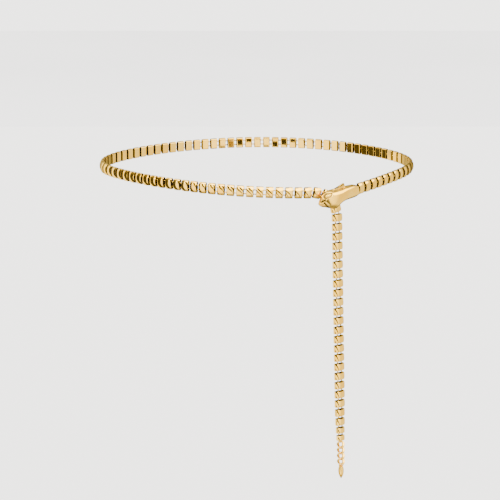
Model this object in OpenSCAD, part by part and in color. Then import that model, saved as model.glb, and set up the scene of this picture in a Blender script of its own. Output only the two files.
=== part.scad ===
// A waist chain in the form of a snake. Domed box links go once round the waist, from the neck of
// the head to a hook behind the snout. There the chain turns down and hangs as the tail, which
// ends in four twisted links and a pointed tip.
// The origin is the middle of the waist. +Z is up and +Y runs from the front to the back.

/* [Box links] */
// Width of a box link across the chain
link_w = 8.2; // [8:0.1:10]
// Length of a box link along the chain
link_l = 5.3; // [5.1:0.1:7]
// Depth of a box link from its face to its back
link_d = 3.8; // [3.7:0.1:5]
// Thickness of the metal
link_wall = 0.75; // [0.5:0.05:0.9]
// Rounding of the long corners
link_corner = 1; // [0.8:0.1:1.5]
// Radius of the arched face across the chain
face_r = 7; // [6.5:0.5:12]
// Radius of the swell of the face along the chain
swell_r = 10; // [8:0.5:20]
// Space wanted between two links
link_gap = 1.85; // [1.7:0.05:2.4]
// Thickness of the plate that closes a link half way
web_t = 0.8; // [0.6:0.1:1]

/* [Wire loops and pins] */
// Thickness of the wire of a loop
loop_wire = 0.9; // [0.7:0.05:1]
// Distance from the middle of a loop to the middle of its wire
loop_r = 1.6; // [1.5:0.05:1.8]
// Thickness of the pin that a loop holds
pin_d = 1.2; // [1:0.05:1.3]
// Distance of the pin from the mouth of its link
pin_inset = 1.1; // [1:0.05:1.2]
// Clearance between a loop and the pin that pulls on it
joint_play = 0.15; // [0.12:0.01:0.2]
// Clearance between the end of a loop and the plate behind it
turn_play = 0.35; // [0.3:0.05:0.5]

/* [Waist loop] */
// Width of the loop along the middle of the chain
waist_w = 236; // [200:1:300]
// Depth of the loop from front to back
waist_d = 183; // [160:1:240]
// How much the flanks are flattened in front, as a share
flank_flat = 0.3; // [0:0.05:0.35]
// How far the front and the back lie to the right of the middle
front_shift = 4.5; // [0:0.5:8]
// Drop of the chain towards the head, on both sides of it
drop = 3.5; // [0:0.5:8]
// How far the neck stands off the waist, to pass over the end of the chain
neck_lift = 3.8; // [3.3:0.1:7]

/* [Hanging end] */
// Radius of the turn from the waist down into the hanging end
turn_r = 19.5; // [19.5:0.5:30]
// Box links from the start of that turn to the end of the tail
tail_links = 29; // [12:1:50]
// Lean of the hanging end to the right, in degrees
hang_lean = 1.6; // [0:0.1:3]
// Length of the last box link but one
short_link_l = 4.4; // [4.2:0.1:5.3]
// Length of the last box link
end_link_l = 3.9; // [3.9:0.1:5.5]

/* [Head] */
// Length of the head from the end of the neck to the nose
head_l = 35; // [33:0.5:44]
// Height of the head at the cheek
head_h = 15.2; // [13:0.1:18]
// Depth of the cheek in front of the middle of the neck
cheek_d = 4.8; // [4:0.1:6]
// Bend of the head round the waist, in degrees
head_bend = 25; // [20:1:28]
// Dip of the nose below the line of the neck, in degrees
head_dip = 8; // [4:0.5:10]
// Radius of the swelling of the eye
eye_r = 1.9; // [1.5:0.1:2.2]
// Half the thickness of the brow
brow_r = 0.7; // [0.5:0.05:0.9]
// Half the width of the nostril
nostril_r = 0.6; // [0.4:0.05:0.8]
// Thickness of the hook's wire
hook_wire = 1.2; // [1:0.1:1.4]
// Thickness of that wire in its bend, as a share of the rest
hook_bend_share = 0.92; // [0.85:0.01:0.95]
// Length of the hook's upright end
hook_end = 4; // [3:0.5:6]
// How far the hook's stem goes into the head
hook_root = 2.5; // [1.5:0.5:3]
// Clearance round that stem
hook_fit = 0.1; // [0.08:0.01:0.15]
// Distance from the face of the chain to the back of the head, at the hook
head_gap = 0.9; // [0.8:0.1:1.1]

/* [End of the tail] */
// Thickness of the wire of the loop on the last box link
end_wire = 0.75; // [0.6:0.05:0.8]
// Distance from the middle of that loop to the middle of its wire
end_loop_r = 1.1; // [1.05:0.05:1.15]
// Thickness of the wire of a twisted link
twist_wire = 1.1; // [1:0.05:1.15]
// Distance from one twisted link to the next
twist_pitch = 4.5; // [4.4:0.1:6]
// Width of a twisted link, wire middle to wire middle
twist_w = 5; // [4.8:0.1:5.6]
// Clearance between the wires at the end of the tail
twist_play = 0.15; // [0.12:0.01:0.2]
// Thickness of the tip
tip_d = 4.2; // [3.8:0.1:5]
// Length of the tip with its eye
tip_l = 12.4; // [11:0.1:18]
// Radius of the hole of the eye
eye_hole_r = 0.9; // [0.85:0.05:1]
// Clearance between the last twisted link and the inner side of that hole
eye_play = 0.4; // [0.35:0.05:0.45]
// Width of the metal round that hole
eye_rim = 0.9; // [0.7:0.05:1]
// Thickness of the eye
eye_t = 1.5; // [1.4:0.1:1.6]

/* [Hidden] */
gold = "goldenrod";
$fn = 32;

// Overlap of parts that are one piece of metal
join = 0.2;

// The waist loop. Angles run from the right flank round the back, and the front is at 270.
neck_angle = -53.5;
turn_angle = 288.9;
lift_span = 27;
drop_span = 55;

function unit(v) = v / norm(v);
function plan(t) = let (flat = sin(t) < 0 ? flank_flat : flank_flat / 2) [waist_w / 2 * cos(t) + front_shift * pow(sin(t), 2),
    waist_d / 2 * ((1 - flat) * sin(t) + flat * pow(sin(t), 3))];
function along(t) = unit(plan(t + 0.1) - plan(t - 0.1));
function outward(t) = let (a = along(t)) [a.y, -a.x, 0];
function fade(angle, span) = pow(max(0, 1 - angle / span), 2);
function route(t) = let (p = plan(t), out = outward(t), off = neck_lift * fade(t - neck_angle, lift_span))
    [p.x + out.x * off, p.y + out.y * off,
     -drop * (fade(t - neck_angle, drop_span) + fade(turn_angle - t, drop_span))];

// The loop holds a whole number of links, and their spacing is fitted to it.
measure_step = 0.5;
function length_from(t) = t + measure_step > turn_angle ? norm(route(turn_angle) - route(t))
    : norm(route(t + measure_step) - route(t)) + length_from(t + measure_step);
loop_l = length_from(neck_angle);
loop_links = round(loop_l / (link_l + link_gap));
pitch = loop_l / loop_links;

function closer(t, guess) = t + (guess - t) * pitch / norm(route(guess) - route(t));
function next_angle(t) = closer(t, closer(t, closer(t, t + 4)));
angles = [for (i = 0, t = neck_angle; i <= loop_links; t = next_angle(t), i = i + 1) t];

// A frame is a pin's middle, the way along the chain, and the way in towards the waist.
function frame(p, ahead, out) = let (x = unit(ahead), y = unit((out * x) * x - out)) [p, x, y, cross(x, y)];
waist_frames = [for (i = [0:loop_links - 1])
    frame(route(angles[i]), route(angles[i + 1]) - route(angles[i]), outward((angles[i] + angles[i + 1]) / 2))];

// The hanging end bends down link by link while it follows the waist, until it hangs.
start_dip = -asin(waist_frames[loop_links - 1][1].z);
bend = pitch / turn_r * 180 / PI;
function dip(i) = min(start_dip + (i + 0.5) * bend, 90 - hang_lean);
function ahead(t, i) = let (a = along(t)) [a.x * cos(dip(i)), a.y * cos(dip(i)), -sin(dip(i))];
function angle_after(t, i) = t + pitch * cos(dip(i)) / norm(plan(t + 0.5) - plan(t - 0.5));
function tail_link_l(i) = i == tail_links - 2 ? short_link_l : link_l;
tail_frames = [for (i = 0, p = route(angles[loop_links]), t = angles[loop_links]; i < tail_links;
        p = p + (pitch - link_l + tail_link_l(i)) * ahead(t, i), t = angle_after(t, i), i = i + 1)
    frame(p, ahead(t, i), outward(t))];

// Widths of the last box links, as shares of a full one, from the end of the tail upwards. None is
// narrower than the wire loop in its mouth allows.
mouth_play = 0.2;
narrowest_w = 2 * (loop_r + loop_wire / 2 + mouth_play + link_wall);
taper = [0.73, 0.82, 0.92, 0.97];
function width(i) = let (n = tail_links - 1 - i) n < len(taper) ? max(taper[n] * link_w, narrowest_w) : link_w;

// A loop reaches into the mouth of the next link, round its pin.
loop_end = pin_inset - (loop_r - loop_wire / 2 - pin_d / 2 - joint_play);
web_x = loop_end + loop_r + loop_wire / 2 + turn_play;

module place(f) multmatrix([for (k = [0:2]) [f[1][k], f[2][k], f[3][k], f[0][k]]]) children();

module rounded(d, w, r) {
    square([d - 2 * r, w], center = true);
    square([d, w - 2 * r], center = true);
    for (x = [-1, 1], y = [-1, 1]) translate([x * (d / 2 - r), y * (w / 2 - r)]) circle(r);
}

// Cross-section of a box link, inset by the metal's thickness where the link is hollow. Its face
// is towards -X and its width along Y.
module section(w, inset = 0) intersection() {
    rounded(link_d - 2 * inset, w - 2 * inset, max(link_corner - inset, 0.2));
    translate([face_r - link_d / 2, 0]) circle(face_r - inset, $fn = 64);
}

// A length of the section along the chain, from one place to another
module stretch(from, to) rotate([90, 0, 90]) translate([0, 0, from]) linear_extrude(to - from) children();

module box_link(w, l = link_l) {
    mouth = -pin_inset;
    // The outer form: arched across the chain and slightly swollen along it
    difference() {
        intersection() {
            stretch(mouth, mouth + l) section(w);
            translate([mouth + l / 2, face_r - link_d / 2, 0]) rotate([0, 90, 0]) rotate_extrude($fn = 64)
                intersection() {
                    translate([face_r - swell_r, 0]) circle(swell_r, $fn = 64);
                    translate([0, -l]) square([face_r, 2 * l]);
                }
        }
        stretch(mouth - 1, mouth + web_x) section(w, link_wall);
        stretch(mouth + web_x + web_t, mouth + l + 1) section(w, link_wall);
    }
    pin(0);
}

// A pin from the face to the back, that many millimetres from the link's own pin
module pin(x) translate([x, 0, 0]) rotate([90, 0, 0])
    cylinder(d = pin_d, h = link_d - link_wall, center = true);

// The wire loop that reaches from the plate of one link round the pin of the next
module wire_loop(from, l = link_l) {
    bow = pitch - link_l + l - pin_inset + loop_end;
    for (z = [-loop_r, loop_r]) translate([from, 0, z]) rotate([0, 90, 0]) cylinder(d = loop_wire, h = bow - from);
    translate([bow, 0, 0]) rotate([90, 0, 0]) rotate([0, 0, -90]) rotate_extrude(angle = 180)
        translate([loop_r, 0]) circle(d = loop_wire);
}

module chain_link(w, l = link_l) {
    box_link(w, l);
    wire_loop(web_x - pin_inset + web_t - join, l);
}

// The last box link has a short loop that stands across its face, for the first twisted link.
end_x = end_link_l - pin_inset;
end_bow_x = end_x + twist_wire + 2 * twist_play - end_loop_r + end_wire / 2;
module end_link() {
    box_link(width(tail_links - 1), end_link_l);
    from = web_x + web_t - pin_inset - join;
    for (y = [-end_loop_r, end_loop_r]) translate([from, y, 0]) rotate([0, 90, 0])
        cylinder(d = end_wire, h = end_bow_x - from);
    translate([end_bow_x, 0, 0]) rotate([0, 0, -90]) rotate_extrude(angle = 180)
        translate([end_loop_r, 0]) circle(d = end_wire);
}

module waist_chain() color(gold) for (f = waist_frames) place(f) chain_link(link_w);

module hanging_chain() color(gold) {
    for (i = [0:tail_links - 2]) place(tail_frames[i]) chain_link(width(i), tail_link_l(i));
    place(tail_frames[tail_links - 1]) end_link();
}

// The head is drawn along X from the end of the neck to the nose, with its face towards +Y.
// Rows of the head, from the neck to the nose: place as a share of the length, top and bottom as
// shares of the height, front and back as shares of the cheek's depth, and how square the row is
head_rows = [
    [0.00, 0.22, -0.27, 0.48, 0.48, 0.60],
    [0.10, 0.33, -0.30, 0.58, 0.48, 0.70],
    [0.25, 0.40, -0.27, 0.72, 0.50, 0.80],
    [0.37, 0.44, -0.25, 0.84, 0.54, 0.85],
    [0.47, 0.45, -0.28, 0.94, 0.60, 0.90],
    [0.56, 0.48, -0.37, 1.00, 0.66, 0.92],
    [0.65, 0.50, -0.46, 0.98, 0.70, 0.92],
    [0.77, 0.49, -0.38, 0.86, 0.68, 0.90],
    [0.87, 0.35, -0.27, 0.70, 0.58, 0.88],
    [0.95, 0.20, -0.19, 0.50, 0.44, 0.85],
    [1.00, 0.04, -0.07, 0.20, 0.20, 0.85]];
last_row = len(head_rows) - 1;
head_stations = 26;
head_points = 32;

// A smooth curve through one column of the rows
function row_before(u, i = 0) = i < last_row - 1 && u > head_rows[i + 1][0] ? row_before(u, i + 1) : i;
function row_slope(i, c) = let (a = head_rows[max(i - 1, 0)], b = head_rows[min(i + 1, last_row)])
    (b[c] - a[c]) / (b[0] - a[0]);
function head_at(u, c) = let (i = row_before(u), a = head_rows[i], b = head_rows[i + 1],
        h = b[0] - a[0], s = (u - a[0]) / h)
    a[c] * (1 + 2 * s) * pow(1 - s, 2) + row_slope(i, c) * h * s * pow(1 - s, 2)
    + b[c] * pow(s, 2) * (3 - 2 * s) + row_slope(i + 1, c) * h * pow(s, 2) * (s - 1);

// The head bends round the waist about an upright line behind it.
head_bend_r = head_l / (head_bend * PI / 180);
function bent(x, y, z) = let (a = head_bend * x / head_l)
    [(head_bend_r + y) * sin(a), (head_bend_r + y) * cos(a) - head_bend_r, z];
function power(v, e) = sign(v) * pow(abs(v), e);
function head_point(u, a) = let (
        top = head_h * head_at(u, 1), bottom = head_h * head_at(u, 2), square = head_at(u, 5),
        reach = cos(a) > 0 ? cheek_d * head_at(u, 3) : cheek_d * head_at(u, 4),
        fullness = cos(a) > 0 ? square : square / 2)
    bent(u * head_l, reach * power(cos(a), fullness), (top + bottom) / 2 + (top - bottom) / 2 * power(sin(a), square));

module head_form() {
    n = head_points;
    corners = [for (k = [0:head_stations], j = [0:n - 1]) head_point(sin(90 * k / head_stations), 360 * j / n)];
    // Each face of the skin is two triangles, and the ends are flat.
    skin = [for (k = [0:head_stations - 1], j = [0:n - 1]) let (m = (j + 1) % n, a = k * n, b = a + n)
        each [[a + j, b + j, b + m], [a + j, b + m, a + m]]];
    neck_end = [for (j = [0:n - 1]) j];
    nose_end = [for (j = [n - 1:-1:0]) head_stations * n + j];
    polyhedron(corners, concat(skin, [neck_end, nose_end]), convexity = 4);
}

// Places on the head: along it as a share of its length, out as a share of the cheek's depth, and up
// as a share of its height
eye_ends = [[0.75, 0.42, 0.36], [0.82, 0.35, 0.28]];
brow_corners = [[0.70, 0, 0.43], [0.36, 0, 0.58], [0.35, 0, 0.38]];
nostril_ends = [[0.86, 0.65, 0.19], [0.94, 0.54, 0.11]];
function on_head(p) = bent(p.x * head_l, p.y * cheek_d, p.z * head_h);

// A round bar between two places on the head, with round ends
module bar(ends, r) hull() for (p = ends) translate(on_head(p)) sphere(r, $fn = 16);

module head_cast() difference() {
    union() {
        head_form();
        // The eye on the side that shows, and the long brow that stands up beyond the crown
        bar(eye_ends, eye_r);
        hull() for (p = brow_corners) translate(on_head(p)) sphere(brow_r);
    }
    bar(nostril_ends, nostril_r);
}

// The head continues the line of the first link, and its nose dips below that line.
module at_neck() place(waist_frames[0]) translate([link_l - pitch - pin_inset, 0, 0]) rotate([0, 0, 180]) children();

// The hook stands on the line of the second link of the turn, in the gap that follows it.
module at_hook() place(tail_frames[1]) translate([(link_l + pitch) / 2 - pin_inset, 0, 0]) children();
hook_y = link_d / 2 + hook_wire / 2 + 0.25;
module hook_stem(d, from) translate([0, from, 0]) rotate([-90, 0, 0])
    cylinder(d = d, h = hook_y - hook_wire + join - from);

module snake_head() color(gold) difference() {
    union() {
        at_neck() rotate([0, head_dip, 0]) head_cast();
        // The loop at the end of the neck holds the pin of the first link.
        place(waist_frames[0]) translate([-pitch, 0, 0]) wire_loop(link_l - pin_inset - 1.5);
    }
    at_hook() hook_stem(hook_wire + 2 * hook_fit, -link_d / 2 - head_gap - hook_root - hook_fit);
}

// The hook goes back from the head through the chain and turns up behind it. Its end is filed round.
module clasp_hook() color(gold) at_hook() {
    hook_stem(hook_wire, -link_d / 2 - head_gap - hook_root);
    rotate([0, -dip(1), 0]) translate([0, hook_y - hook_wire, hook_wire]) {
        rotate([90, 0, 90]) rotate([0, 0, -90]) rotate_extrude(angle = 90)
            translate([hook_wire, 0]) circle(d = hook_bend_share * hook_wire);
        translate([0, hook_wire, -join]) cylinder(d = hook_wire, h = hook_end + join);
        translate([0, hook_wire, hook_end]) cylinder(d1 = hook_wire, d2 = hook_wire / 2, h = hook_wire / 4);
    }
}

// A twisted link lies flat where it starts and has turned on edge where it ends, so that the
// next one, which is the same, passes through it.
twist_l = twist_pitch + twist_play + twist_wire;
twist_turns = 24;
twist_sides = 6;
function twist_point(a) = let (turned = 45 * (1 - cos(a)))
    [-twist_l / 2 * cos(a), -twist_w / 2 * sin(a) * sin(turned), twist_w / 2 * sin(a) * cos(turned)];
function twist_ring(a) = let (turned = 45 * (1 - cos(a)), way = unit(twist_point(a + 1) - twist_point(a - 1)),
        across = unit(cross([0, cos(turned), sin(turned)], way)), up = cross(way, across))
    [for (j = [0:twist_sides - 1]) let (b = 360 * j / twist_sides)
        twist_point(a) + twist_wire / 2 * (cos(b) * across + sin(b) * up)];
twist_x = end_x + twist_play + twist_wire / 2 + twist_l / 2;

module tail_link(number) color(gold) place(tail_frames[tail_links - 1])
    translate([twist_x + (number - 1) * twist_pitch, 0, 0]) {
        n = twist_sides;
        total = twist_turns * n;
        corners = [for (k = [0:twist_turns - 1]) each twist_ring(360 * k / twist_turns)];
        skin = [for (k = [0:twist_turns - 1], j = [0:n - 1]) let (m = (j + 1) % n, a = k * n, b = (a + n) % total)
            each [[a + j, b + j, b + m], [a + j, b + m, a + m]]];
        polyhedron(corners, skin, convexity = 4);
    }

// The tip hangs by its eye on the last twisted link.
eye_x = twist_x + 3 * twist_pitch + twist_l / 2 + eye_hole_r - twist_wire / 2 - eye_play;
module tail_tip() color(gold) place(tail_frames[tail_links - 1]) translate([eye_x, 0, 0]) difference() {
    ring_r = eye_hole_r + eye_rim;
    body_l = tip_l - ring_r;
    // The body is a spindle, turned from an arc.
    half = (body_l + ring_r) / 2;
    arc_r = (half * half + tip_d * tip_d / 4) / tip_d;
    union() {
        rotate([90, 0, 0]) cylinder(r = ring_r, h = eye_t, center = true);
        intersection() {
            translate([body_l - half, 0, 0]) rotate([0, 90, 0]) rotate_extrude($fn = 48) intersection() {
                translate([tip_d / 2 - arc_r, 0]) circle(arc_r, $fn = 96);
                translate([0, -half]) square([tip_d / 2, 2 * half - 0.3]);
            }
            translate([eye_hole_r, -tip_d, -tip_d]) cube([tip_l, 2 * tip_d, 2 * tip_d]);
        }
    }
    rotate([90, 0, 0]) cylinder(r = eye_hole_r, h = 2 * eye_t, center = true);
}

snake_head();
clasp_hook();
waist_chain();
hanging_chain();
tail_link(1);  // tail_link_1
tail_link(2);  // tail_link_2
tail_link(3);  // tail_link_3
tail_link(4);  // tail_link_4
tail_tip();
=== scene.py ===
"""Looks of a gold waist chain in the form of a snake. Pieces are modelled in millimetres in the
frame of a link or of the head, and put in their place in metres."""
import math
import bmesh
import bpy
from mathutils import Matrix, Vector


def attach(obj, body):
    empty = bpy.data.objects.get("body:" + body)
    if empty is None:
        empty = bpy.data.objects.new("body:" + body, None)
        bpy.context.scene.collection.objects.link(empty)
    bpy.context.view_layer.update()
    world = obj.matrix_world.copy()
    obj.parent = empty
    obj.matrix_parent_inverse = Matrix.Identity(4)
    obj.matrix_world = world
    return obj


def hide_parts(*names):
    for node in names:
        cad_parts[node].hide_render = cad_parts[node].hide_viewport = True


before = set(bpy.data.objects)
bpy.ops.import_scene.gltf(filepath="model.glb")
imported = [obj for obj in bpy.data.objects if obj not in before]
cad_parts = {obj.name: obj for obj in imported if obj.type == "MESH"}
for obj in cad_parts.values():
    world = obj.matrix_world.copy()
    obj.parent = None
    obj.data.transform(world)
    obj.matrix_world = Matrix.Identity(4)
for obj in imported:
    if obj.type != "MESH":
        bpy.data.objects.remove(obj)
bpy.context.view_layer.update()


# The chain round the waist. Each box link is cast brass with an arched and slightly swollen face, a
# plate soldered inside it, a pin across its mouth and a wire loop that holds the pin of the next
# link. All of it is polished and plated in pale gold.
link_w = 8.2
link_l = 5.3
link_d = 3.8
link_wall = 0.75
link_gap = 1.85
corner_cut = 0.92
rim = 0.3
face_r = 7.0
swell_r = 10.0
web_t = 0.8
join = 0.2
loop_wire = 0.9
loop_r = 1.6
pin_d = 1.2
pin_inset = 1.1
joint_play = 0.15
turn_play = 0.35
# How deep the middle of a loop's bow is in the mouth of the next link, and where its plate starts.
loop_end = pin_inset - (loop_r - loop_wire / 2 - pin_d / 2 - joint_play)
web_x = loop_end + loop_r + loop_wire / 2 + turn_play

# The way of the chain, seen from above, with angles from the right side. It stands off the waist at
# the neck, and dips from the back to the front towards both of its ends.
waist_w = 236.0
waist_d = 183.0
flank_flat = 0.3
front_shift = 4.5
drop = 3.5
neck_lift = 3.8
neck_angle = -53.5
turn_angle = 288.9
lift_span = 27.0
drop_span = 55.0


def sin(a):
    return math.sin(math.radians(a))


def cos(a):
    return math.cos(math.radians(a))


def plan(t):
    flat = flank_flat if sin(t) < 0 else flank_flat / 2
    return Vector((waist_w / 2 * cos(t) + front_shift * sin(t) ** 2,
                   waist_d / 2 * ((1 - flat) * sin(t) + flat * sin(t) ** 3), 0))


def along(t):
    return (plan(t + 0.1) - plan(t - 0.1)).normalized()


def outward(t):
    a = along(t)
    return Vector((a.y, -a.x, 0))


def fade(angle, span):
    return max(0, 1 - angle / span) ** 2


def route(t):
    p = plan(t) + outward(t) * neck_lift * fade(t - neck_angle, lift_span)
    p.z = -drop * (fade(t - neck_angle, drop_span) + fade(turn_angle - t, drop_span))
    return p


def loop_length():
    step = 0.5
    total, t = 0.0, neck_angle
    while t + step <= turn_angle:
        total += (route(t + step) - route(t)).length
        t += step
    return total + (route(turn_angle) - route(t)).length


loop_links = round(loop_length() / (link_l + link_gap))
pitch = loop_length() / loop_links


def next_angle(t):
    """The angle of the next pin, from a first guess and three corrections."""
    guess = t + 4
    for _ in range(3):
        guess = t + (guess - t) * pitch / (route(guess) - route(t)).length
    return guess


def frame_at(p, ahead, out):
    """The place of a link: its pin's middle, X along the chain and Y in towards the waist."""
    x = ahead.normalized()
    y = (out.dot(x) * x - out).normalized()
    z = x.cross(y)
    turned = Matrix((x, y, z)).transposed().to_4x4()
    return Matrix.Translation(p) @ turned


angles = [neck_angle]
for _ in range(loop_links):
    angles.append(next_angle(angles[-1]))
waist_frames = [frame_at(route(a), route(b) - route(a), outward((a + b) / 2))
                for a, b in zip(angles, angles[1:])]


def deselect():
    if bpy.context.object and bpy.context.object.mode != "OBJECT":
        bpy.ops.object.mode_set(mode="OBJECT")
    bpy.ops.object.select_all(action="DESELECT")


def select(*pieces):
    deselect()
    for p in pieces:
        p.select_set(True)
    bpy.context.view_layer.objects.active = pieces[0]


def edit(piece):
    """Goes into edit mode with nothing selected."""
    select(piece)
    bpy.ops.object.mode_set(mode="EDIT")
    bpy.ops.mesh.select_all(action="DESELECT")


def finish_edit():
    bpy.ops.object.mode_set(mode="OBJECT")
    return bpy.context.object


def finish_outward():
    """Leaves edit mode with all faces turned outward."""
    bpy.ops.mesh.select_all(action="SELECT")
    bpy.ops.mesh.normals_make_consistent(inside=False)
    return finish_edit()


def pick(kind, test):
    """Selects the faces, edges or vertices of the mesh in edit mode that pass a test."""
    mesh = bmesh.from_edit_mesh(bpy.context.object.data)
    bpy.ops.mesh.select_mode(type={"faces": "FACE", "edges": "EDGE", "verts": "VERT"}[kind])
    bpy.ops.mesh.select_all(action="DESELECT")
    for e in getattr(mesh, kind):
        e.select_set(bool(test(e)))
    mesh.select_flush_mode()
    bmesh.update_edit_mesh(bpy.context.object.data)


def slice_at(place, normal, **cut):
    bpy.ops.mesh.select_all(action="SELECT")
    bpy.ops.mesh.bisect(plane_co=place, plane_no=normal, **cut)


def joined(name, pieces):
    select(*pieces)
    bpy.ops.object.join()
    piece = bpy.context.object
    piece.name = name
    piece.data.name = name
    return piece


def placed_copy(piece, place):
    copy = piece.copy()
    copy.data = piece.data.copy()
    bpy.context.collection.objects.link(copy)
    copy.data.transform(place)
    return copy


def smooth(piece, angle=35):
    select(piece)
    bpy.ops.object.shade_smooth_by_angle(angle=math.radians(angle))


def at_origin(piece):
    """Moves the place of a new piece into its mesh."""
    select(piece)
    bpy.ops.object.transform_apply(location=True, rotation=True, scale=True)
    return piece


def box_shell(width, length):
    """The box of a link, with its pin's middle at the origin."""
    touching = 1e-3
    start, end = -pin_inset, length - pin_inset
    middle = (start + end) / 2
    axis_y = face_r - link_d / 2
    deselect()
    bpy.ops.mesh.primitive_cylinder_add(vertices=72, radius=face_r, depth=length,
                                        location=(middle, axis_y, 0), rotation=(0, math.pi / 2, 0))
    shell = at_origin(bpy.context.object)
    edit(shell)
    slice_at((0, link_d / 2, 0), (0, 1, 0), clear_outer=True, use_fill=True)
    for side in (-1, 1):
        slice_at((0, 0, side * width / 2), (0, 0, side), clear_outer=True, use_fill=True)
    # The four long corners are rounded.
    pick("edges", lambda e: all(abs(abs(v.co.z) - width / 2) < touching for v in e.verts)
         and abs(e.verts[0].co.x - e.verts[1].co.x) > length / 2)
    bpy.ops.mesh.bevel(offset=corner_cut, segments=5, profile=0.5, affect="EDGES")
    slices = 6
    for k in range(1, slices):
        slice_at((start + length * k / slices, 0, 0), (1, 0, 0))
    # The face swells along the chain.
    mesh = bmesh.from_edit_mesh(shell.data)
    for v in mesh.verts:
        away = Vector((0, v.co.y - axis_y, v.co.z))
        most = face_r - swell_r + math.sqrt(swell_r ** 2 - (v.co.x - middle) ** 2)
        if away.length > most:
            away *= most / away.length
            v.co.y, v.co.z = axis_y + away.y, away.z
    bmesh.update_edit_mesh(shell.data)
    # Both ends are hollow up to the plate, unless the plate closes the end.
    shallowest = 0.1
    hollows = [(start, -1, web_x), (end, 1, length - web_x - web_t)]
    for x, side, depth in [h for h in hollows if h[2] > shallowest]:
        pick("faces", lambda f: f.normal.x * side > 0.9
             and abs(f.calc_center_median().x - x) < touching)
        bpy.ops.mesh.inset(thickness=link_wall, use_even_offset=True)
        bpy.ops.mesh.extrude_region_move(TRANSFORM_OT_translate={"value": (-side * depth, 0, 0)})
    # The outer rims of the mouths are polished round.
    skin = 0.6 * link_wall

    def is_outer(f):
        c = f.calc_center_median()
        return (abs(f.normal.x) < 0.7 and f.normal.dot(c - Vector((middle, 0, 0))) > 0
                and max(abs(c.z) - width / 2, abs(c.y) - link_d / 2) + skin > 0)

    pick("edges", lambda e: any(is_outer(f) for f in e.link_faces)
         and all(min(abs(v.co.x - start), abs(v.co.x - end)) < touching for v in e.verts))
    bpy.ops.mesh.bevel(offset=rim, segments=3, profile=0.5, affect="EDGES")
    mesh = bmesh.from_edit_mesh(shell.data)
    for v in mesh.verts:
        v.co.z = max(-width / 2, min(width / 2, v.co.z))
    # The inside and the rims get a dark, dull gold: painted shade in the mouths and between links.
    for f in mesh.faces:
        c = f.calc_center_median()
        inside = (abs(c.z) < width / 2 - link_wall / 2 and c.y < link_d / 2 - link_wall / 2
                  and (c.y - axis_y) ** 2 + c.z ** 2 < (face_r - link_wall / 2) ** 2)
        if inside or abs(f.normal.x) > 0.4:
            f.material_index = 1
    bmesh.update_edit_mesh(shell.data)
    return finish_edit()


def pin():
    deselect()
    bpy.ops.mesh.primitive_cylinder_add(vertices=14, radius=pin_d / 2, depth=link_d - link_wall,
                                        rotation=(math.pi / 2, 0, 0))
    return at_origin(bpy.context.object)


def half_ring(ring_r, wire, bow, back, across):
    """A wire loop with its bow ahead and two straight legs back. It stands across the face where
    across is true, and otherwise lies level with it."""
    sides = 10
    deselect()
    bpy.ops.mesh.primitive_torus_add(major_radius=ring_r, minor_radius=wire / 2, major_segments=24,
                                     minor_segments=sides, location=(bow, 0, 0),
                                     rotation=(0 if across else math.pi / 2, 0, 0))
    ring = at_origin(bpy.context.object)
    edit(ring)
    slice_at((bow, 0, 0), (1, 0, 0), clear_inner=True)
    pick("edges", lambda e: e.is_boundary)
    bpy.ops.mesh.extrude_region_move(TRANSFORM_OT_translate={"value": (back - bow, 0, 0)})
    bpy.ops.mesh.select_all(action="SELECT")
    bpy.ops.mesh.fill_holes(sides=sides + 2)
    return finish_outward()


def whole_link(pieces):
    link = joined("link", [coat(piece, link_gold, shaded_mouth_gold) for piece in pieces])
    smooth(link)
    return link


to_metres = Matrix.Scale(0.001, 4)


def chain_of(name, links_and_places):
    """Copies of links in their places, as one piece of the model in metres."""
    return joined(name, [placed_copy(link, to_metres @ place) for link, place in links_and_places])


def remove(*pieces):
    select(*pieces)
    bpy.ops.object.delete()


class Wire:
    """One socket of a node. Sums on it add Math nodes."""

    def __init__(self, tree, socket):
        self.tree = tree
        self.socket = socket

    def node(self, kind, settings=None, out=0, **inputs):
        node = self.tree.nodes.new(kind)
        for key, value in (settings or {}).items():
            if key == "stops":
                ramp = node.color_ramp
                while len(ramp.elements) < len(value):
                    ramp.elements.new(0.5)
                for e, (place, colour) in zip(ramp.elements, value):
                    e.position = place
                    e.color = colour
            else:
                setattr(node, key, value)
        for key, value in inputs.items():
            slot = node.inputs[int(key[1:])] if key[0] == "_" else node.inputs[key.replace("_", " ")]
            if isinstance(value, Wire):
                self.tree.links.new(value.socket, slot)
            else:
                slot.default_value = value
        return Wire(self.tree, node.outputs[out])

    def sum(self, operation, a, b):
        return self.node("ShaderNodeMath", {"operation": operation}, _0=a, _1=b)

    def __add__(self, other):
        return self.sum("ADD", self, other)

    __radd__ = __add__

    def __mul__(self, other):
        return self.sum("MULTIPLY", self, other)

    __rmul__ = __mul__

    def __sub__(self, other):
        return self.sum("SUBTRACT", self, other)

    def __rsub__(self, other):
        return self.sum("SUBTRACT", other, self)


def mixed(share, first, second):
    return share.node("ShaderNodeMix", {"data_type": "RGBA"}, out=2, _0=share, _6=first, _7=second)


pale_gold = (1.0, 0.76, 0.30, 1)
deep_gold = (0.98, 0.67, 0.16, 1)
# The two darkest golds are painted shade, for the mouths and rims of the links and for the head's
# lines and underside.
mouth_shade_colour = (0.10, 0.076, 0.048, 1)
deepest_shade_colour = (0.05, 0.038, 0.024, 1)


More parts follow.
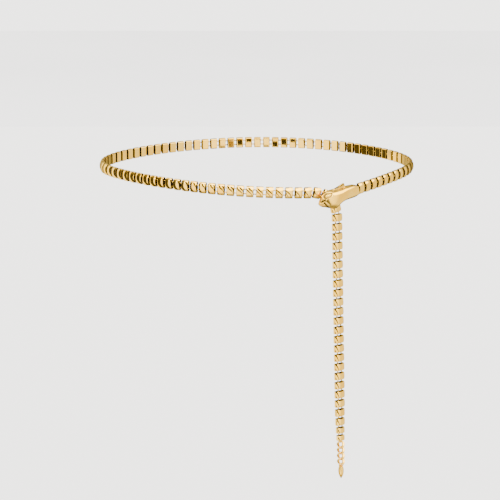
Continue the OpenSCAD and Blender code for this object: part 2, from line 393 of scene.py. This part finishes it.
def gold(name, roughness, light=pale_gold, deep=deep_gold, cloud=90.0, lines=False):
    """Polished gold plate: nearly even, with faint clouds in its colour and its polish, and the
    fine waves and lines that a buffing wheel leaves. With lines, painted shade from an attribute
    makes it dark and dull in the engraved lines and underneath."""
    grain, cloud_polish, grain_polish, dull = 1400.0, 0.05, 0.04, 0.7
    material = bpy.data.materials.new(name)
    material.use_nodes = True
    tree = material.node_tree
    shader = tree.nodes["Principled BSDF"]
    shader.inputs["Metallic"].default_value = 1.0
    shader.inputs["IOR"].default_value = 1.45
    place = Wire(tree, tree.nodes.new("ShaderNodeTexCoord").outputs["Object"])
    clouds = place.node("ShaderNodeTexNoise", Vector=place, Scale=cloud, Detail=3.0, Roughness=0.55)
    colour = place.node("ShaderNodeValToRGB", {"stops": [(0.36, deep), (0.58, light)]}, Fac=clouds)
    fine = place.node("ShaderNodeTexNoise", Vector=place, Scale=grain, Detail=2.0, Roughness=0.6)
    waves = place.node("ShaderNodeTexNoise", Vector=place, Scale=cloud * 4, Detail=1.0, Roughness=0.4)
    polish = roughness + grain_polish * (fine - 0.5) + cloud_polish * (clouds - 0.5)
    if lines:
        # Painted shade from the attribute darkens the colour and dulls the polish.
        dark = Wire(tree, tree.nodes.new("ShaderNodeAttribute").outputs["Fac"])
        dark.socket.node.attribute_name = "painted_shade"
        colour = mixed(dark, colour, deepest_shade_colour)
        polish = polish + dull * dark
    height = waves * 0.8 + fine * 0.2
    bump = place.node("ShaderNodeBump", Strength=0.18, Distance=0.00012, Height=height)
    tree.links.new(colour.socket, shader.inputs["Base Color"])
    tree.links.new(polish.socket, shader.inputs["Roughness"])
    tree.links.new(bump.socket, shader.inputs["Normal"])
    return material


def coat(piece, *materials):
    while piece.data.materials:
        piece.data.materials.pop()
    for m in materials:
        piece.data.materials.append(m)
    return piece


def stands_for(piece, *nodes):
    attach(piece, "root")
    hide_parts(*nodes)


link_gold = gold("link_gold", 0.07)
# Painted shade: a dark, dull gold for the mouths and rims of the links.
shaded_mouth_gold = gold("shaded_mouth_gold", 0.45, mouth_shade_colour, deepest_shade_colour)
legs_x = web_x + web_t - pin_inset - join


def box_link(width, length):
    bow_x = pitch - link_l + length - pin_inset + loop_end
    return whole_link([box_shell(width, length), pin(),
                       half_ring(loop_r, loop_wire, bow_x, legs_x, False)])


full_link = box_link(link_w, link_l)
waist_links = chain_of("waist_links", [(full_link, place) for place in waist_frames])
stands_for(waist_links, "waist_chain")


# The hanging end. The same box links turn down behind the head and hang as the tail. The last ones
# get narrower and shorter, and the very last has a small loop across its face for the twisted links.
tail_links = 29
turn_r = 19.5
hang_lean = 1.6
short_link_l = 4.4
end_link_l = 3.9
end_wire = 0.75
end_loop_r = 1.1
twist_wire = 1.1
twist_play = 0.15
mouth_play = 0.2
narrowest_w = 2 * (loop_r + loop_wire / 2 + mouth_play + link_wall)
taper = [0.73, 0.82, 0.92, 0.97]

start_dip = math.degrees(-math.asin(waist_frames[-1].col[0].z))
bend = math.degrees(pitch / turn_r)


def dip(i):
    """How steeply a link of the hanging end goes down, in degrees."""
    return min(start_dip + (i + 0.5) * bend, 90 - hang_lean)


def ahead(t, i):
    a = along(t)
    return Vector((a.x * cos(dip(i)), a.y * cos(dip(i)), -sin(dip(i))))


def tail_link_l(i):
    return {tail_links - 1: end_link_l, tail_links - 2: short_link_l}.get(i, link_l)


def tail_link_w(i):
    n = tail_links - 1 - i
    return max(taper[n] * link_w, narrowest_w) if n < len(taper) else link_w


tail_frames = []
place, t = route(angles[-1]), angles[-1]
for i in range(tail_links):
    tail_frames.append(frame_at(place, ahead(t, i), outward(t)))
    place = place + (pitch - link_l + tail_link_l(i)) * ahead(t, i)
    t += pitch * cos(dip(i)) / (plan(t + 0.5) - plan(t - 0.5)).length

end_x = end_link_l - pin_inset
end_bow_x = end_x + twist_wire + 2 * twist_play - end_loop_r + end_wire / 2
end_link = whole_link([box_shell(tail_link_w(tail_links - 1), end_link_l), pin(),
                       half_ring(end_loop_r, end_wire, end_bow_x, legs_x, True)])
narrow_links = {i: box_link(tail_link_w(i), tail_link_l(i))
                for i in range(tail_links - len(taper), tail_links - 1)}
narrow_links[tail_links - 1] = end_link
tail_box_links = chain_of("tail_box_links", [(narrow_links.get(i, full_link), place)
                                             for i, place in enumerate(tail_frames)])
stands_for(tail_box_links, "hanging_chain")
remove(full_link, *narrow_links.values())


# The snake's head. It is one brass casting, filed and polished: a flat crown that runs back along
# the neck, full smooth cheeks, a snout that is set in from them and one long brow. The side that
# shows has an eye and a slit nostril. A wire loop at its neck holds the first link of the chain.
head_l = 35.0
head_h = 15.2
cheek_d = 4.8
head_bend = 25.0
head_dip = 8.0
# Places along the head. The columns after the place are the top, the underside, the near side and
# the far side, as shares of the head's sizes, and how round the section is: 1 is an ellipse.
top_side, underside, near_side, far_side, roundness = 1, 2, 3, 4, 5
head_rows = [
    [0.00, 0.22, -0.27, 0.48, 0.48, 0.60],
    [0.10, 0.33, -0.30, 0.58, 0.48, 0.70],
    [0.25, 0.40, -0.27, 0.72, 0.50, 0.80],
    [0.37, 0.44, -0.25, 0.84, 0.54, 0.85],
    [0.47, 0.45, -0.28, 0.94, 0.60, 0.90],
    [0.56, 0.48, -0.37, 1.00, 0.66, 0.92],
    [0.65, 0.50, -0.46, 0.98, 0.70, 0.92],
    [0.77, 0.49, -0.38, 0.86, 0.68, 0.90],
    [0.87, 0.35, -0.27, 0.70, 0.58, 0.88],
    [0.95, 0.20, -0.19, 0.50, 0.44, 0.85],
    [1.00, 0.04, -0.07, 0.20, 0.20, 0.85]]
head_bend_r = head_l / math.radians(head_bend)


def head_at(u, c):
    """One column of the rows, as a smooth curve."""
    last = len(head_rows) - 1
    i = max(0, min(last - 1, sum(row[0] < u for row in head_rows) - 1))
    a, b = head_rows[i], head_rows[i + 1]

    def slope(k):
        before, after = head_rows[max(k - 1, 0)], head_rows[min(k + 1, last)]
        return (after[c] - before[c]) / (after[0] - before[0])

    h = b[0] - a[0]
    s = (u - a[0]) / h
    return (a[c] * (1 + 2 * s) * (1 - s) ** 2 + slope(i) * h * s * (1 - s) ** 2
            + b[c] * s * s * (3 - 2 * s) + slope(i + 1) * h * s * s * (s - 1))


def bent(x, y, z):
    a = head_bend * x / head_l
    return Vector(((head_bend_r + y) * sin(a), (head_bend_r + y) * cos(a) - head_bend_r, z))


def power(v, e):
    return math.copysign(abs(v) ** e, v)


def oval(u, a):
    """A place on the plain form of the head, before it is bent: along, out and up."""
    top, bottom = head_h * head_at(u, top_side), head_h * head_at(u, underside)
    near, exponent = cos(a) > 0, head_at(u, roundness)
    reach = cheek_d * head_at(u, near_side if near else far_side)
    return Vector((u * head_l, reach * power(cos(a), exponent if near else exponent / 2),
                   (top + bottom) / 2 + (top - bottom) / 2 * power(sin(a), exponent)))


def ease(low, high, v):
    s = max(0.0, min(1.0, (v - low) / (high - low)))
    return s * s * (3 - 2 * s)


def off_line(line, x, z):
    """Distance from a bent line in the side view, and the share of the way along it."""
    best = (1e9, 0.0)
    for k, ((ax, az), (bx, bz)) in enumerate(zip(line, line[1:])):
        dx, dz = bx - ax, bz - az
        s = max(0.0, min(1.0, ((x - ax) * dx + (z - az) * dz) / (dx ** 2 + dz ** 2)))
        d = math.hypot(x - ax - s * dx, z - az - s * dz)
        best = min(best, (d, (k + s) / (len(line) - 1)))
    return best


def groove(distance, width):
    """The depth of a filed line at a distance from its middle, from 1 down to 0."""
    return math.exp(-(distance / width) ** 2)


def line_shade(distance, width):
    """The painted shade of a line there: even over its width, with a soft edge."""
    return math.exp(-(distance / width) ** 4)


def from_eye(x, z):
    """How far a place is from the middle of the eye, where the eye's own edge is 1, and whether it
    is above the eye."""
    dx, dz = x - eye_middle[0], z - eye_middle[1]
    forward = (dx * cos(eye_slope) + dz * sin(eye_slope)) / eye_half[0]
    upward = (dz * cos(eye_slope) - dx * sin(eye_slope)) / eye_half[1]
    return (abs(forward) ** almond + abs(upward) ** almond) ** (1 / almond), upward > 0


# All lines are in the side view, along the head and up. The snout is set in from the cheeks ahead of
# the jaw line and below the nostril. Each line is filed to a depth, and painted shade darkens it a
# little wider.
crown_edge = 50.0
snout_from, snout_inset, snout_fade = 26.0, 0.5, 2.2
jaw_line = [(31.8, 1.4), (31.2, -0.6), (30.2, -2.6), (28.6, -4.6), (26.8, -6.6)]
jaw_depth, jaw_w, jaw_shade_w = 0.45, 0.42, 0.6
mouth_line = [(35.0, -0.4), (33.4, -0.6), (31.2, -0.6)]
mouth_depth, mouth_w = 0.22, 0.3
nostril_line = [(30.8, 2.7), (32.2, 2.1), (33.3, 1.6)]
nostril_depth, nostril_w, nostril_shade_w = 0.75, 0.45, 0.65
# The eye lies in an almond-shaped socket, with the lid raised over it. Places round it are shares of
# the eye's own size.
eye_middle = (27.9, 5.1)
eye_half = (2.5, 1.15)
eye_slope = -18.0
eye_seat = 0.48 * cheek_d
eye_bulge = 1.5
eye_margin = 0.1
almond = 1.6
socket_at, socket_w, socket_depth = 1.2, 0.2, 0.40
lid_at, lid_w, upper_lid, lower_lid = 1.7, 0.3, 0.32, 0.12
axis_z = 0.04 * head_h


def head_point(u, a):
    """A place on the skin of the head, and how much shade is painted there: 0 where the metal is
    plain, and 1 in the engraved lines and underneath."""
    p = oval(u, a)
    # The crown is filed flat from the neck to the snout, so that it meets the cheek in a clear ridge.
    if crown_edge < a < 90:
        flat = oval(u, crown_edge).lerp(oval(u, 90.0), (a - crown_edge) / (90 - crown_edge))
        p = p.lerp(flat, 1 - ease(0.70, 0.82, u))
    x, y, z = p
    inset = dark = 0.0
    if cos(a) > 0:
        off_jaw, share = off_line(jaw_line, x, z)
        if x > snout_from and x > jaw_line[0][0] - 0.85 * max(0.0, jaw_line[0][1] - z) ** 0.9:
            inset += snout_inset * math.exp(-off_jaw / snout_fade) * ease(2.2, 0.6, z)
        jaw_start = ease(0.0, 0.15, share)
        inset += jaw_depth * groove(off_jaw, jaw_w) * jaw_start
        off_mouth = off_line(mouth_line, x, z)[0]
        mouth = groove(off_mouth, mouth_w)
        off_nostril = off_line(nostril_line, x, z)[0]
        inset += mouth_depth * mouth + nostril_depth * groove(off_nostril, nostril_w)
        off_eye, over = from_eye(x, z)
        socket, lid = groove(off_eye - socket_at, socket_w), groove(off_eye - lid_at, lid_w)
        inset += socket_depth * socket - (upper_lid if over else lower_lid) * lid
        # Painted shade in the jaw line, the mouth, the nostril and the eye socket.
        dark = max(line_shade(off_jaw, jaw_shade_w) * jaw_start, 0.5 * mouth,
                   line_shade(off_nostril, nostril_shade_w), socket)
    # Painted shade darkens the underside up to an edge that is lower where the cheek stands flat.
    depth = power(-sin(a), head_at(u, roundness))
    flat_cheek = ease(0.60, 0.75, u)
    edge, full = 0.55 + 0.31 * flat_cheek, 0.80 + 0.19 * flat_cheek
    dark = max(dark, ease(edge, full, depth))
    way = Vector((0, y, z - axis_z))
    if way.length > 0.1:
        p = p - way.normalized() * inset
    return bent(*p), dark


def painted_shade(piece, values):
    """Keeps how much shade is painted at each vertex."""
    shade = piece.data.attributes.new("painted_shade", "FLOAT", "POINT")
    for v, dark in zip(shade.data, values):
        v.value = dark


def sewn(piece, *ends):
    """Sews a grid together where it meets itself, and closes its ends, each picked by a test."""
    edit(piece)
    bpy.ops.mesh.select_all(action="SELECT")
    bpy.ops.mesh.remove_doubles(threshold=1e-4)
    for is_end in ends:
        pick("edges", lambda e: e.is_boundary and is_end(e.verts[0].co.x))
        bpy.ops.mesh.edge_face_add()
    return finish_outward()


def head_skin():
    deselect()
    bpy.ops.mesh.primitive_grid_add(x_subdivisions=170, y_subdivisions=150, size=1)
    skin = bpy.context.object
    places = [head_point(math.sin(math.pi / 2 * (v.co.x + 0.5)), (360 * (v.co.y + 0.5)) % 360)
              for v in skin.data.vertices]
    for v, (place, dark) in zip(skin.data.vertices, places):
        v.co = place
    painted_shade(skin, [dark for place, dark in places])
    return sewn(skin, lambda x: x < 1, lambda x: x >= 1)


def eyeball():
    deselect()
    bpy.ops.mesh.primitive_uv_sphere_add(segments=48, ring_count=24, radius=1)
    eye = bpy.context.object
    x, z = eye_middle
    turn = (Matrix.Rotation(math.radians(-head_bend * x / head_l), 4, "Z")
            @ Matrix.Rotation(math.radians(-eye_slope), 4, "Y"))
    size = Matrix.Diagonal((eye_half[0] + eye_margin, eye_bulge, eye_half[1] + eye_margin, 1))
    eye.data.transform(Matrix.Translation(bent(x, eye_seat, z)) @ turn @ size)
    return eye


brow_cuts = [[(20.6, 7.9), (17.6, 8.1)], [(16.2, 7.9), (12.6, 8.7)]]
brow_end, brow_l = 11.9, 13.6
brow_top, brow_fall = 9.5, 2.6
brow_foot, foot_fall = 6.0, 0.4
brow_half_t, brow_taper = 0.75, 0.10
brow_square = 0.35
end_slant = 0.5
cut_w, cut_depth = 0.55, 0.2


def brow():
    """A long brow that rises from the crown to a square end over the neck, with two cuts in it."""
    deselect()
    bpy.ops.mesh.primitive_grid_add(x_subdivisions=60, y_subdivisions=48, size=1)
    bar = bpy.context.object
    darks = []
    for v in bar.data.vertices:
        along_bar, round_bar = v.co.x + 0.5, 360 * (v.co.y + 0.5)
        top, foot = brow_top - brow_fall * along_bar, brow_foot - foot_fall * along_bar
        x = brow_end + brow_l * along_bar + end_slant * (1 - along_bar) * sin(round_bar)
        z = (top + foot) / 2 + (top - foot) / 2 * power(sin(round_bar), brow_square)
        y = (brow_half_t - brow_taper * sin(round_bar)) * power(cos(round_bar), brow_square)
        # The cuts are darkened with painted shade.
        cut = max(line_shade(off_line(line, x, z)[0], cut_w) for line in brow_cuts) if y > 0 else 0.0
        v.co = bent(x, y - cut_depth * cut, z)
        darks.append(cut)
    painted_shade(bar, darks)
    return sewn(bar, lambda x: True)


# The head's own frame starts at the neck and runs towards the nose, against the chain.
neck_seat = 1.5
neck_place = (waist_frames[0] @ Matrix.Translation((link_l - pitch - pin_inset, 0, 0))
              @ Matrix.Rotation(math.pi, 4, "Z"))
tilt = Matrix.Rotation(math.radians(head_dip), 4, "Y")
head_form = joined("head_form", [head_skin(), eyeball(), brow()])
head_form.data.transform(tilt)
neck_loop = half_ring(loop_r, loop_wire, pitch - pin_inset + loop_end,
                      link_l - pin_inset - neck_seat, False)
neck_loop.data.transform(neck_place.inverted() @ waist_frames[0] @ Matrix.Translation((-pitch, 0, 0)))
head = joined("head", [head_form, neck_loop])
head.data.transform(to_metres @ neck_place)
smooth(head, 40)
coat(head, gold("head_gold", 0.12, cloud=70.0, lines=True))
stands_for(head, "snake_head")


# The hook behind the head, a plain brass wire that is bent, soldered on and polished with the head.
# It goes through a gap between two links and only shows from behind, so it keeps its plain form.
coat(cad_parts["clasp_hook"], gold("hook_gold", 0.16))


# The four twisted links at the end of the tail. Each is a ring of brass wire, soldered shut through
# the one before, pressed wide at its sides and turned a quarter from where it starts to where it
# ends, so that the row lies flat.
twist_pitch = 4.5
twist_w = 5.0
twist_l = twist_pitch + twist_play + twist_wire
twist_x = end_x + twist_play + twist_wire / 2 + twist_l / 2
pressed_in = 0.5
pressed_wide = 0.5


def quarter_turn(a):
    return 45 * (1 - cos(a))


def twist_point(a):
    out, turned = twist_w / 2 * sin(a), quarter_turn(a)
    return Vector((-twist_l / 2 * cos(a), -out * sin(turned), out * cos(turned)))


def twisted_ring(name):
    plain_r = 10
    deselect()
    bpy.ops.mesh.primitive_torus_add(major_radius=plain_r, minor_radius=1,
                                     major_segments=72, minor_segments=14)
    ring = bpy.context.object
    for v in ring.data.vertices:
        a = math.degrees(math.atan2(v.co.y, v.co.x))
        r = math.hypot(v.co.x, v.co.y) - plain_r
        turned = quarter_turn(a)
        way = (twist_point(a + 1) - twist_point(a - 1)).normalized()
        across = Vector((0, cos(turned), sin(turned))).cross(way).normalized()
        # The pressing is strongest halfway along each side, and its direction is in towards the hole.
        side = sin(a) ** 2
        v.co = (twist_point(a) + (twist_wire / 2 + pressed_wide * side) * r * across
                + twist_wire / 2 * v.co.z * way.cross(across) + pressed_in * side * across)
    edit(ring)
    ring = finish_outward()
    smooth(ring, 60)
    ring.name = name
    return ring


tail_end_place = to_metres @ tail_frames[-1]
tail_gold = gold("tail_gold", 0.11, cloud=160.0)
twists = 4
for number in range(1, twists + 1):
    ring = twisted_ring("twisted_link_%d" % number)
    ring_x = twist_x + (number - 1) * twist_pitch
    ring.data.transform(tail_end_place @ Matrix.Translation((ring_x, 0, 0)))
    coat(ring, tail_gold)
    stands_for(ring, "tail_link_%d" % number)


# The tip of the tail: a turned and polished brass spindle with a flat eye, which hangs on the last
# twisted link.
tip_d = 4.2
tip_l = 12.4
tip_blunt = 0.15
eye_hole_r = 0.9
eye_play = 0.4
eye_rim = 0.9
eye_t = 1.5
eye_x = twist_x + (twists - 1) * twist_pitch + twist_l / 2 + eye_hole_r - twist_wire / 2 - eye_play


def spindle():
    """The arched body, which starts in the rim of its eye."""
    body_start = eye_hole_r + 0.1
    eye_outer = eye_hole_r + eye_rim
    body_l = tip_l - eye_outer
    half = (body_l + eye_outer) / 2
    arc_r = (half * half + tip_d * tip_d / 4) / tip_d
    middle = body_l - half
    deselect()
    bpy.ops.mesh.primitive_uv_sphere_add(segments=48, ring_count=40, radius=1,
                                         rotation=(0, math.pi / 2, 0))
    body = at_origin(bpy.context.object)
    for v in body.data.vertices:
        x = max(-1.0, min(1.0, v.co.x))
        along_body = math.asin(x) / (math.pi / 2)
        off = along_body * (half - tip_blunt)
        r = max(0.0, tip_d / 2 - arc_r + math.sqrt(arc_r ** 2 - off ** 2))
        away = Vector((0, v.co.y, v.co.z))
        away = away.normalized() * r if away.length > 1e-6 else away
        v.co = Vector((middle + off, away.y, away.z))
    edit(body)
    slice_at((body_start, 0, 0), (1, 0, 0), clear_inner=True, use_fill=True)
    return finish_edit()


def tip_eye():
    deselect()
    bpy.ops.mesh.primitive_torus_add(major_radius=eye_hole_r + eye_rim / 2,
                                     minor_radius=eye_rim / 2, major_segments=48,
                                     minor_segments=16, rotation=(math.pi / 2, 0, 0))
    eye = at_origin(bpy.context.object)
    for v in eye.data.vertices:
        v.co.y *= eye_t / eye_rim
    return eye


tip = joined("tip", [spindle(), tip_eye()])
tip.data.transform(tail_end_place @ Matrix.Translation((eye_x, 0, 0)))
smooth(tip, 50)
coat(tip, gold("tip_gold", 0.09, cloud=160.0))
stands_for(tip, "tail_tip")


# The pale room: a wide matt floor below the tail, three soft lamps, what the metal sees, and the
# camera. The floor and the lamps don't show in the metal.
floor_z = -0.30


def floor():
    deselect()
    bpy.ops.mesh.primitive_plane_add(size=1, location=(0, 2.25, floor_z), scale=(1.5, 5.5, 1))
    plane = at_origin(bpy.context.object)
    plane.name = "floor"
    material = bpy.data.materials.new("pale_floor")
    material.use_nodes = True
    tree = material.node_tree
    shader = tree.nodes["Principled BSDF"]
    shader.inputs["Roughness"].default_value = 0.9
    shader.inputs["Specular IOR Level"].default_value = 0.1
    place = Wire(tree, tree.nodes.new("ShaderNodeTexCoord").outputs["Object"])
    mottle = place.node("ShaderNodeTexNoise", Vector=place, Scale=2.0, Detail=2.0)
    greys = [(0.3, (0.80, 0.80, 0.81, 1)), (0.7, (0.84, 0.84, 0.85, 1))]
    colour = place.node("ShaderNodeValToRGB", {"stops": greys}, Fac=mottle)
    tree.links.new(colour.socket, shader.inputs["Base Color"])
    plane.data.materials.append(material)
    plane.visible_glossy = False


def soft_light(name, place, target, size, watts):
    data = bpy.data.lights.new(name, "AREA")
    data.shape = "RECTANGLE"
    data.size, data.size_y = size
    data.energy = watts
    lamp = bpy.data.objects.new(name, data)
    bpy.context.collection.objects.link(lamp)
    lamp.visible_glossy = False
    lamp.location = place
    lamp.rotation_euler = (Vector(target) - Vector(place)).to_track_quat("-Z", "Y").to_euler()


floor()
soft_light("key", (-0.6, -1.9, 1.9), (0, 0, -0.05), (2.2, 1.5), 34)
soft_light("fill", (1.8, -1.2, 0.7), (0, 0, -0.05), (0.9, 1.3), 14)
soft_light("top", (0, 0.3, 2.2), (0, 0, 0), (2.0, 1.4), 50)

# What the polished metal sees of the room: a pale tent that is brightest above the camera, dimmer on
# the right, overhead, at the back and below, with a dark panel on the left and two slanting poles in
# front. The tent is warm, so that gold seen in gold stays yellow. All else gets plain white light.
world = bpy.data.worlds.new("room")
world.use_nodes = True
bpy.context.scene.world = world
room = world.node_tree
way = Wire(room, room.nodes.new("ShaderNodeTexCoord").outputs["Generated"])
parts = room.nodes.new("ShaderNodeSeparateXYZ")
room.links.new(way.socket, parts.inputs[0])
right, deep, high = (Wire(room, parts.outputs[k]) for k in (0, 1, 2))
# The turn away from the camera in radians, more than 0 on the left.
turn = right.sum("ARCTAN2", -1.0 * right, -1.0 * deep)


def smooth_step(value, low, high):
    return value.node("ShaderNodeMapRange", {"interpolation_type": "SMOOTHSTEP"}, Value=value,
                      From_Min=low, From_Max=high)


def band(value, low, high, soft):
    """1 between two values and 0 outside, with soft edges."""
    return smooth_step(value, low - soft, low) * (1 - smooth_step(value, high, high + soft))


def pole(place):
    """A pole slants, and is wider at its top because its edges slant unequally."""
    soft, left_slant, right_slant = 0.06, 0.95, 0.7
    return (smooth_step(turn - right_slant * high, place - 0.04 - soft, place - 0.04)
            * (1 - smooth_step(turn - left_slant * high, place + 0.20, place + 0.20 + soft)))


panel = band(turn, 1.15, 1.80, 0.08) * band(high, -0.80, 0.60, 0.10)
poles = (pole(-0.28) + pole(0.30)) * band(high, -0.75, 0.60, 0.1)
bright = band(high, 0.38, 0.75, 0.10) * (1 - smooth_step(deep, 0.0, 0.3))
overhead = smooth_step(high, 0.75, 0.9)
back = smooth_step(deep, 0.45, 0.75)
below = 1 - smooth_step(high, -0.88, -0.62)
far_right = 1 - smooth_step(turn, -1.1, -0.7)
tent_light, right_loss, bright_gain, room_light = 3.4, 1.5, 6.0, 3.5
tent = tent_light - right_loss * far_right + bright_gain * bright
pale = ((1 - 0.97 * panel) * (1 - 0.98 * poles)
        * (1 - 0.5 * overhead) * (1 - 0.75 * back) * (1 - 0.75 * below))
in_metal = Wire(room, room.nodes.new("ShaderNodeLightPath").outputs["Is Glossy Ray"])
strength = (1 - in_metal) * room_light + in_metal * pale * tent
white_light, warm_light = (1.0, 0.98, 0.95, 1), (1.0, 0.775, 0.24, 1)
background = room.nodes["Background"]
room.links.new(mixed(in_metal, white_light, warm_light).socket, background.inputs["Color"])
room.links.new(strength.socket, background.inputs["Strength"])

# The camera looks a little down. Its focal length is in pixels of the photo, whose side is 500.
elevation = 0.239
distance = 1.8
target = Vector((-0.00502, 0, -0.0668))
focal_pixels = 2338
photo_side = 500
sensor_mm = 36
camera_data = bpy.data.cameras.new("camera")
camera = bpy.data.objects.new("camera", camera_data)
bpy.context.collection.objects.link(camera)
camera.location = target - distance * Vector((0, math.cos(elevation), -math.sin(elevation)))
camera.rotation_euler = (math.pi / 2 - elevation, 0, 0)
camera_data.sensor_width = sensor_mm
camera_data.lens = focal_pixels / photo_side * sensor_mm
bpy.context.scene.camera = camera
